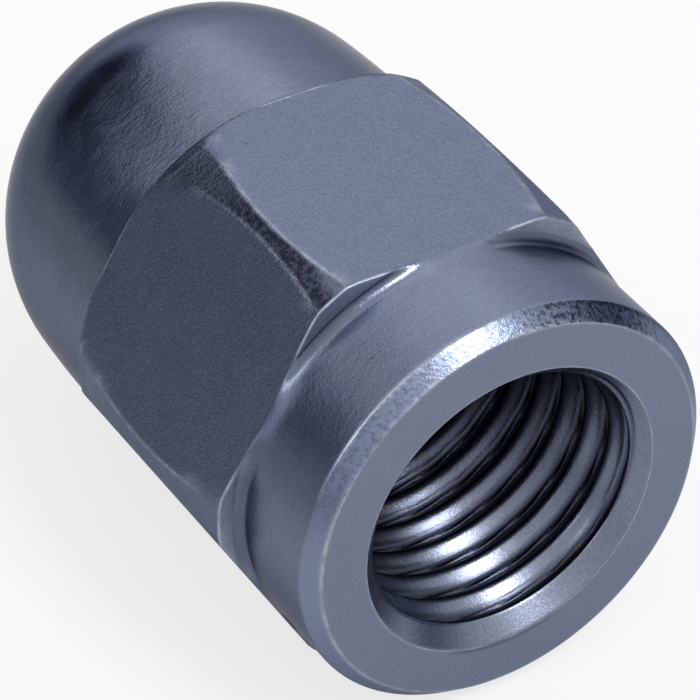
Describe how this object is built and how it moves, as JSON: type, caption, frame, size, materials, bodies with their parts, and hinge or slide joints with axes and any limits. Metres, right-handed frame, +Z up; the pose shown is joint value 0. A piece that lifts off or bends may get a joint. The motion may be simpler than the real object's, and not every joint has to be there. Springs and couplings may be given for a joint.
{
  "type": "closed suspension nut",
  "caption": "Closed hexagon nut with a round threaded collar and a solid dome, for the end of a suspension stud.",
  "frame": {"origin": "on the surface the nut lies on, under the middle of its length", "axes": "+Y along the thread axis from the open collar towards the dome, +Z up, away from the flat it lies on, +X across a pair of corners"},
  "size_m": [0.0194, 0.0282, 0.017],
  "materials": {
    "plated_steel": "satin"
  },
  "bodies": {
    "root": {"nut": "plated_steel"}
  },
  "joints": []
}
